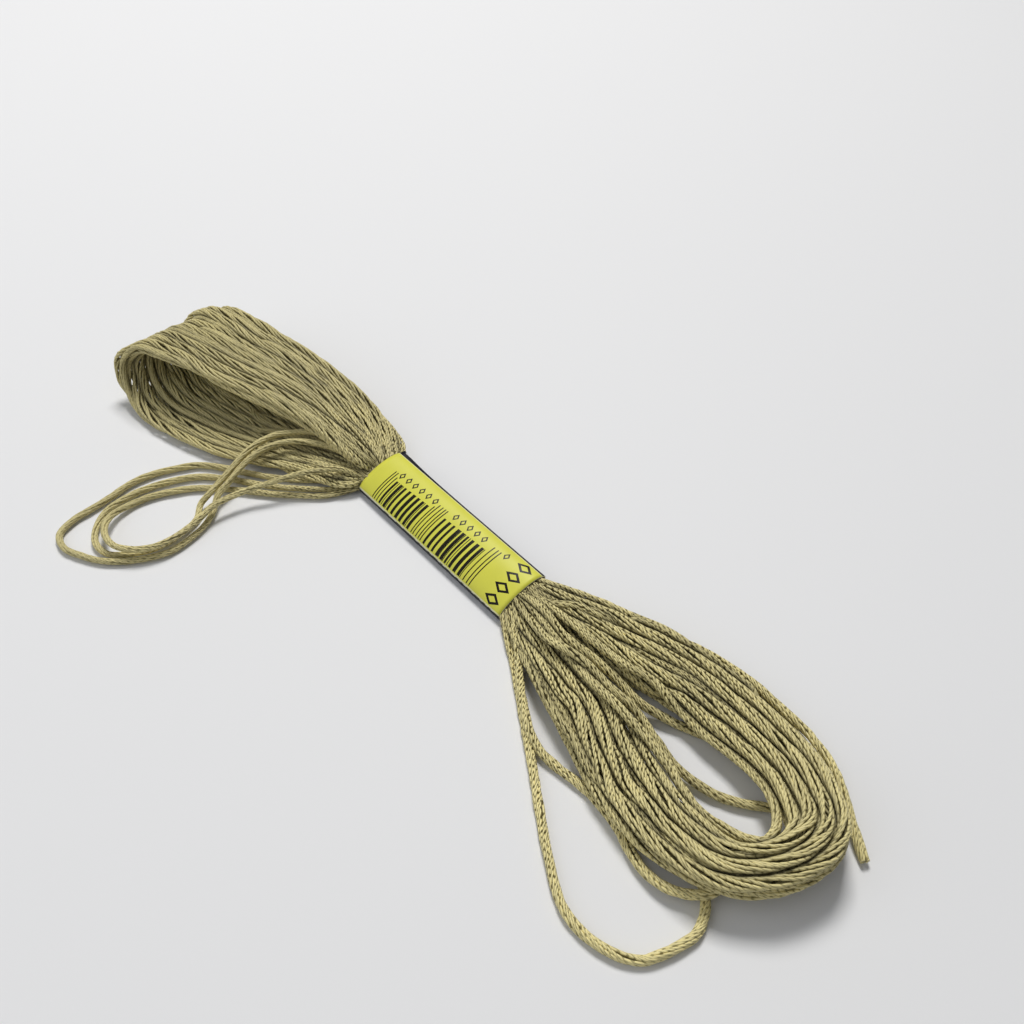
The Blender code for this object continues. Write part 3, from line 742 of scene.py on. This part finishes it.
# The turns settle: each keeps near its way, pushes its neighbours off and lies on the table
SETTLING_ROUNDS = 160
ROUNDS_PER_SEARCH = 12  # neighbours are looked for again after so many rounds
PUSH = 1.4  # a little more than what parts two threads
PULL_BACK = 0.995  # share of its drift that a node keeps in each round
ABOVE_TABLE = 0.05
HELD_EASE, FIXED_EASE = 0.12, 1e-4  # how readily held turns and slack threads give way
ways = np.concatenate(routes)
kind = np.concatenate(kinds)
ends = np.cumsum([len(route) for route in routes])
order = np.arange(len(ways))
previous = np.where(np.isin(order, [0, *ends[:-1]]), order, order - 1)
following = np.where(np.isin(order, ends - 1), order, order + 1)
turn_of = np.searchsorted(ends, order, side="right")

obstacles = np.concatenate([points[::4] for points in slack_lines.values()])
slack_girth = [
    girth_at(slack_lines[name][::4], route.girth, SLACK_AFTER)
    for name, route in SLACK_ROUTES.items()
]
girth = girth_at(ways, np.concatenate(girths))
size = np.concatenate([girth, *slack_girth]) * PACKED_DIAMETER
flat = np.zeros((len(size), 3))
flat[: len(ways)] = unit_rows(np.concatenate(flats))
flatness = np.zeros(len(size))
flatness[: len(ways)] = np.where(kind == FREE, 0.3, 0.4 + 0.6 * swell_at(ways))
wide = 1 + flatness * (FLAT_WIDTH - 1)
thin = 1 + flatness * (FLAT_DEPTH - 1)
lowest = (size * thin)[: len(ways)] / 2 + ABOVE_TABLE
held = np.array([number in held_turns for number in range(TURNS)])[turn_of]
ease = np.concatenate([np.where(held, HELD_EASE, 1.0), np.full(len(obstacles), FIXED_EASE)])
# Nodes of one turn have owner numbers that follow on, and those of two turns lie far apart
OWNER_STEP = 10000
OWN_NEIGHBOURS = 4
owner = np.concatenate([turn_of * OWNER_STEP + order, -np.ones(len(obstacles)) * OWNER_STEP])


def search_tree(points):
    tree = KDTree(len(points))
    for number, point in enumerate(points):
        tree.insert(point, number)
    tree.balance()
    return tree


def near_pairs(points):
    """Pairs of nodes that could touch, without a node's own neighbours along its thread."""
    tree = search_tree(points)
    found = []
    for number in range(len(ways)):
        for _, other, _ in tree.find_range(points[number], size[number] * 1.5):
            if other > number and abs(owner[other] - owner[number]) > OWN_NEIGHBOURS:
                found.append((number, other))
    return np.array(found)


def reach_towards(number, direction):
    """How far a thread's surface lies from its middle in the given directions."""
    along_flat = (flat[number] * direction).sum(axis=-1) ** 2
    squeeze = np.sqrt(along_flat / wide[number] ** 2 + (1 - along_flat) / thin[number] ** 2)
    return size[number] / 2 / squeeze


def keep_in_band(points):
    """Nodes inside the band stay inside its paper, whose section leans."""
    inside = np.abs(points[:, 0]) < BAND_LENGTH / 2 + 0.5
    y, z = points[inside, 1], points[inside, 2]
    upper_half = z > BAND_EDGE_HEIGHT + BAND_LEAN * y
    margin = 0.14 + (size[: len(points)] * wide[: len(points)])[inside] / 2
    drop = np.where(upper_half, BAND_CROWN, BAND_DROP) - margin
    height = (z - BAND_EDGE_HEIGHT - BAND_LEAN * y) / drop
    over = np.maximum(np.hypot(y / (BAND_HALF_WIDTH - margin), height), 1)
    points[inside, 1] = y / over
    points[inside, 2] = BAND_EDGE_HEIGHT + BAND_LEAN * y / over + height / over * drop


def keep_in_lobe(points, number, lobe, spare):
    """Nodes of a lobe stay inside its outline, give or take a little."""
    mine = np.flatnonzero(kind == number)
    place = np.tile(np.arange(len(lobe.rows)), len(mine) // len(lobe.rows))
    rows = lobe.rows[place]
    gap = points[mine] - rows[:, :3]
    side = (gap * lobe.across[place]).sum(axis=1)
    half = (rows[:, 3:5] - FLAT_DEPTH * size[mine, None]) / 2 + spare
    gap[:, 2] -= side / half[:, 0] * rows[:, 5] / 2
    depth = (gap * lobe.through[place]).sum(axis=1)
    wanted_side = np.clip(side, -half[:, 0], half[:, 0])
    room = half[:, 1] * (1 - 0.85 * np.abs(wanted_side / half[:, 0]) ** 3) ** (1 / 3)
    wanted_depth = np.clip(depth, -room, room)
    side_step = (wanted_side - side)[:, None] * lobe.across[place]
    depth_step = (wanted_depth - depth)[:, None] * lobe.through[place]
    points[mine] += 0.5 * (side_step + depth_step)


points = np.concatenate([ways, obstacles])
for settling in range(SETTLING_ROUNDS):
    if settling % ROUNDS_PER_SEARCH == 0:
        first, second = near_pairs(points).T
    gap = points[first] - points[second]
    distance = np.maximum(np.linalg.norm(gap, axis=1), 1e-6)
    direction = gap / distance[:, None]
    reach = reach_towards(first, direction) + reach_towards(second, direction)
    short = np.maximum(reach - distance, 0)
    push = direction * (short / (ease[first] + ease[second]))[:, None]
    touching = np.bincount(first, short > 0, len(points))
    touching += np.bincount(second, short > 0, len(points))
    for axis in range(3):
        move = np.bincount(first, push[:, axis], len(points))
        move -= np.bincount(second, push[:, axis], len(points))
        points[:, axis] += ease * move / np.maximum(touching, 1) * PUSH
    drift = points[: len(ways)] - ways
    drift += 0.5 * ((drift[previous] + drift[following]) / 2 - drift)
    settled = ways + drift * PULL_BACK
    keep_in_lobe(settled, IN_NEAR_LOBE, near_lobe, 0.12)
    keep_in_lobe(settled, IN_FAR_LOBE, far_lobe, 0.15)
    settled[:, 2] = np.maximum(settled[:, 2], lowest)
    keep_in_band(settled)
    points[: len(ways)] = settled

# Two of the far lobe's turns stand out from its fold
for turn, amount in STANDING_OUT:
    mine = np.flatnonzero((turn_of == turn) & (kind == IN_FAR_LOBE))
    swell = np.sin(np.linspace(0, math.pi, len(mine))) ** 8
    points[mine] -= far_lobe.through * (amount * swell)[:, None]
    points[mine, 2] = np.maximum(points[mine, 2], lowest[mine])

# Threads are laid along the settled lines, a few turns to a piece
FLOSS_STEP = 0.8
TURNS_PER_PIECE = 5
NODES_TRIED = 7  # the nodes nearest to a point, in the search for the thread it lies close to
CLOSE_RANGE = 0.3  # distance over which the closeness of another thread fades
FAR_OFF = 9.0
settled_rows = np.column_stack(
    [points[: len(ways)], flat[: len(ways)], flatness[: len(ways)], girth]
)
settled_routes = np.split(settled_rows, ends[:-1])


def vectors_of(mesh, values, key):
    spots = np.empty(len(mesh.vertices) * 3, np.float32)
    values.foreach_get(key, spots)
    return spots.reshape(-1, 3).astype(float) / MM


def store_closeness(piece):
    """Marks the points of a piece that other threads lie close to."""
    mesh = piece.data
    spots = vectors_of(mesh, mesh.vertices, "co")
    middles = vectors_of(mesh, mesh.attributes["middle"].data, "vector")
    near = np.array([[node for _, node, _ in all_nodes.find_n(spot, NODES_TRIED)] for spot in spots])
    gap = spots[:, None] - points[near]
    distance = np.linalg.norm(gap, axis=2)
    reach = reach_towards(near, gap / np.maximum(distance, 1e-6)[..., None])
    own = np.linalg.norm(middles[:, None] - points[near], axis=2) < 0.7 * size[near]
    nearest = np.where(own, FAR_OFF, distance - reach).min(axis=1)
    store_on_points(mesh, "closed_in", np.exp(-np.maximum(nearest, 0) / CLOSE_RANGE))


all_nodes = search_tree(points)
for piece, first_turn in enumerate(range(0, TURNS, TURNS_PER_PIECE)):
    lines = []
    for number in range(first_turn, min(first_turn + TURNS_PER_PIECE, TURNS)):
        fine = smooth_rows(settled_routes[number], FLOSS_STEP)
        hidden = np.abs(fine[:, 0]) < BAND_LENGTH / 2 - 3
        fine = fine[~hidden | (np.arange(len(fine)) % 5 == 0)]
        middle = fine[:, :3]
        girth = DRAWN_SHARE * fine[:, 7] * (1 + 0.07 * soft_noise(chance, len(fine), 14))
        girth *= 0.85 + 0.15 * np.clip(np.abs(middle[:, 0]) - BAND_LENGTH / 2 + 1.5, 0, 1)
        seed = number + 0.137 * (number % 7)
        lines.append(ThreadLine(middle * MM, girth, fine[:, 3:6], fine[:, 6], seed))
    wound = lay_floss(f"wound_turns_{piece + 1}", lines, Seed=8.0 + piece)
    store_closeness(wound)
    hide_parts("hank_body")
    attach(wound, "root")

# ---------------------------------------------------------------------------------------------
# The paper band: a strip of coated paper wrapped round the waist and glued to itself behind.
# Its front is printed yellow with bars and marks, its back is dark.
# ---------------------------------------------------------------------------------------------
PAPER_THICKNESS = 0.15
SEAM_START = math.radians(-60)  # the inner end of the strip, under the lap
SEAM_END = math.radians(335)
RING_POINTS = 140
BAND_RINGS = 48
ARC_SPAN = 40.0  # length round the band that the print's second coordinate stands for
LEMON = (0.69, 0.68, 0.085)
NAVY = (0.006, 0.006, 0.012)
INK = (0.006, 0.005, 0.002)
BARE_PAPER = (0.72, 0.71, 0.66)
PALE_EDGE_COLOUR = (0.80, 0.78, 0.42)
# Places on the print: along the band, or round it from its top towards the back
FRONT = (-4.9, 3.95)
# thin pale lines along both edges of the yellow front
PALE_EDGE_LINES = [(-5.1, -4.85), (3.95, 4.1)]
BAR_PITCH = 1.05
BAR_FIELDS = [(-12.5, -4.6), (-1.0, 8.3)]
BAR_FOOT, BAR_TOP, LONG_BAR_TOP = -4.7, 0.5, 1.75
LONG_BARS = [-14.1, -13.6, -13.0, -3.9, -3.4, -2.7, -2.1, -1.6, 8.9, 9.7, 10.3]
LOZENGE_FIELDS = [(-13.4, -3.8), (-0.6, 7.4), (10.6, 12.2)]
LOZENGE_ROW = 1.75


def band_section(x):
    """The strip's outer line round the band at one place along it, from lap to lap."""
    angle = np.linspace(SEAM_START, SEAM_END, RING_POINTS)
    under = np.clip((math.radians(-5) - angle) / math.radians(18), 0, 1) * 0.2
    # Behind its upper edge the paper stands off, most at the end by the far lobe
    stand_off = 0.12 + 0.6 * math.exp(-(x / BAND_LENGTH + 0.5) * 9)
    turned = np.degrees(angle + math.pi) % 360 - 180
    behind = np.clip((24 - turned) / 14, 0, 1) * np.clip((turned + 48) / 40, 0, 1)
    reach = stand_off * behind - under
    sine = np.sin(angle)
    y = (BAND_HALF_WIDTH + PAPER_THICKNESS + 0.1 + reach) * np.cos(angle)
    drop = np.where(sine > 0, BAND_CROWN, BAND_DROP)
    z = BAND_EDGE_HEIGHT + (drop + reach * 0.4) * sine + BAND_LEAN * y
    return np.stack([y, np.maximum(z, np.where(angle < 0, 0.2, 0.0))], axis=1)


def inward(line, amount):
    """The line moved to its inner side, which is on the left of its direction."""
    along = unit_rows(np.gradient(line, axis=0))
    return line + amount * np.stack([-along[:, 1], along[:, 0]], axis=1)


def make_band_mesh():
    """A thin wrapped strip with its print laid out in the UV map, in shares of its size."""
    shape = bmesh.new()
    layout = shape.loops.layers.uv.new("print")
    printed = shape.verts.layers.float.new("printed")
    rings = []
    top = np.argmin(np.abs(np.linspace(SEAM_START, SEAM_END, RING_POINTS) - math.pi / 2))
    for x in np.linspace(-BAND_LENGTH / 2, BAND_LENGTH / 2, BAND_RINGS + 1):
        outer = band_section(x)
        inner = inward(outer, PAPER_THICKNESS)
        steps = np.linalg.norm(np.diff(outer, axis=0), axis=1)
        arc = np.concatenate([[0], np.cumsum(steps)])
        arc = arc[top] - arc
        ring = []
        for line, mark in ((outer, 1.0), (inner, 0.0)):
            verts = [shape.verts.new((x * MM, y * MM, z * MM)) for y, z in line]
            for vert in verts:
                vert[printed] = mark
            ring.append((verts, arc))
        rings.append((x, ring))

    def add_face(corners):
        face = shape.faces.new([vert for vert, _ in corners])
        face.smooth = True
        for loop, (_, place) in zip(face.loops, corners):
            loop[layout].uv = place

    def corner(ring_number, side, number):
        x, ring = rings[ring_number]
        verts, arc = ring[side]
        return verts[number], (x / BAND_LENGTH + 0.5, arc[number] / ARC_SPAN + 0.5)

    for a in range(BAND_RINGS):
        for b in range(RING_POINTS - 1):
            square = [(a, b), (a + 1, b), (a + 1, b + 1), (a, b + 1)]
            add_face([corner(ring, 0, number) for ring, number in square])
            add_face([corner(ring, 1, number) for ring, number in square[::-1]])
        for b in (0, RING_POINTS - 1):
            edge = [corner(a, 0, b), corner(a, 1, b), corner(a + 1, 1, b), corner(a + 1, 0, b)]
            add_face(edge if b == 0 else edge[::-1])
    for b in range(RING_POINTS - 1):
        for a in (0, BAND_RINGS):
            edge = [corner(a, 0, b), corner(a, 0, b + 1), corner(a, 1, b + 1), corner(a, 1, b)]
            add_face(edge if a == 0 else edge[::-1])
    bmesh.ops.recalc_face_normals(shape, faces=shape.faces)
    mesh = bpy.data.meshes.new("paper_sleeve")
    shape.to_mesh(mesh)
    shape.free()
    return mesh


def between(value, low, high):
    """1 where the value is between the two limits."""
    return (value > low) & (value < high)


def in_any(value, spans):
    return reduce(Value.__or__, [between(value, *span) for span in spans])


def make_print_material():
    """The printed paper: every mark is worked out from the place on the strip."""
    material, tree, shader = new_material("printed_paper", Roughness=0.4, Specular_IOR_Level=0.2)
    flat = add_node(tree, "ShaderNodeUVMap", uv_map="print")
    share_x, share_arc, _ = flat.parts()
    x = share_x * BAND_LENGTH - BAND_LENGTH / 2
    arc = share_arc * ARC_SPAN - ARC_SPAN / 2
    slanted = x * -0.055 + arc  # the print is a little askew

    # Bars that stand for nothing: chance sets the width of each and what stands beside it
    cell = x / BAR_PITCH
    step = cell.math("FLOOR")
    across = cell.math("FRACT") * BAR_PITCH
    luck, more_luck = [
        add_node(tree, "ShaderNodeTexWhiteNoise", {"W": seed}, noise_dimensions="1D")
        for seed in (step, step + 40.3)
    ]
    wide = between(across, 0.1, luck * 0.26 + 0.50)
    thin = between(across, 0.74, 0.88) & (more_luck > 0.4)
    bars = (wide | thin) & in_any(x, BAR_FIELDS) & (arc > BAR_FOOT) & (slanted < BAR_TOP)
    # Small and large open lozenges stand where figures would be
    clear = in_any(x, LOZENGE_FIELDS)
    column = (x + 12.6).math("PINGPONG", 0.8)
    tall = (slanted - LOZENGE_ROW).math("ABSOLUTE")
    small = between(tall * 0.7 + column, 0.26, 0.52) & clear
    row = (arc + 3.8).math("PINGPONG", 1.1)
    far = (x - 14.9).math("ABSOLUTE")
    large = between(far * 0.6 + row, 0.50, 0.93) & between(arc, -4.9, 3.9)
    # Long bars go up beside the lozenges, but stop short below them
    long_bars = in_any(x, [(at - 0.1, at + 0.1) for at in LONG_BARS])
    long_bars = long_bars & (arc > BAR_FOOT) & (slanted < clear * -0.75 + LONG_BAR_TOP)
    ink = bars | long_bars | small | large

    # Pale dashes on the dark back
    row = arc * 1.1
    sockets = {0: (x * 1.6).math("FLOOR"), 1: row.math("FLOOR")}
    spot = add_node(tree, "ShaderNodeCombineXYZ", sockets)
    luck = add_node(tree, "ShaderNodeTexWhiteNoise", {"Vector": spot}, noise_dimensions="2D")
    dashes = (luck > 0.55) & between(row.math("FRACT"), 0.3, 0.5)

    def paint(below, mask, colour):
        return add_node(tree, "ShaderNodeMix", {0: mask, 6: below, 7: colour}, data_type="RGBA")

    front = between(arc, *FRONT)
    fibre = add_noise(tree, flat, 260.0, 2.0)
    light = (add_noise(tree, flat, 9.0, 4.0) * 0.16 + 0.92) + (fibre * 0.08 - 0.04)
    face = paint((*NAVY, 1), dashes, (*BARE_PAPER, 1))
    face = paint(face, front, (*LEMON, 1))
    face = paint(face, front & ink, (*INK, 1))
    # Thin pale lines along both edges of the yellow front
    face = paint(face, in_any(arc, PALE_EDGE_LINES), (*PALE_EDGE_COLOUR, 1))
    face = paint((*BARE_PAPER, 1), carried_value(tree, "printed") > 0.98, face)
    sockets = {0: 1.0, 6: face, 7: light}
    face = add_node(tree, "ShaderNodeMix", sockets, data_type="RGBA", blend_type="MULTIPLY")
    sockets = {"Strength": 0.15, "Distance": 0.02 * MM, "Height": fibre}
    bump = add_node(tree, "ShaderNodeBump", sockets)
    fill_sockets(tree, shader, {"Base Color": face, "Normal": bump})
    return material


band_mesh = make_band_mesh()
band_mesh.materials.append(make_print_material())
band = add_object("paper_sleeve", band_mesh)
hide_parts("paper_band")
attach(band, "root")

# ---------------------------------------------------------------------------------------------
# The table: a plain pale top that runs on past the view, in a light room with one big window
# behind it, so that soft shadows fall towards the eye.
# ---------------------------------------------------------------------------------------------
TABLE_COLOUR = (0.80, 0.805, 0.82)
table_material, table_tree, table_shader = new_material(
    "table", Base_Color=(*TABLE_COLOUR, 1), Roughness=0.6, Specular_IOR_Level=0.2
)
table_mesh = bpy.data.meshes.new("table")
table_mesh.from_pydata([(-3, -3, 0), (3, -3, 0), (3, 3, 0), (-3, 3, 0)], [], [(0, 1, 2, 3)])
table_mesh.materials.append(table_material)
table = add_object("table", table_mesh)

Lamp = namedtuple("Lamp", "name place aim size power colour")
LAMPS = [
    Lamp("window", (-0.39, 0.35, 0.88), (-0.18, -0.31, 0), 0.32, 8.3, (1.0, 0.985, 0.955)),
    Lamp("room", (-0.20, -0.53, 0.45), (-0.03, 0, 0), 0.8, 1.45, (0.96, 0.98, 1.0)),
]
for lamp in LAMPS:
    data = bpy.data.lights.new(lamp.name, "AREA")
    data.shape = "SQUARE"
    data.size = lamp.size
    data.energy = lamp.power
    data.color = lamp.colour
    light = add_object(lamp.name, data)
    light.location = lamp.place
    aim = Vector(lamp.aim) - Vector(lamp.place)
    light.rotation_euler = aim.to_track_quat("-Z", "Y").to_euler()

world = bpy.data.worlds.new("room")
world.use_nodes = True
background = world.node_tree.nodes["Background"]
fill_sockets(world.node_tree, background, {"Color": (0.95, 0.965, 1.0, 1), "Strength": 0.2})
bpy.context.scene.world = world
bpy.context.scene.view_settings.view_transform = "Standard"
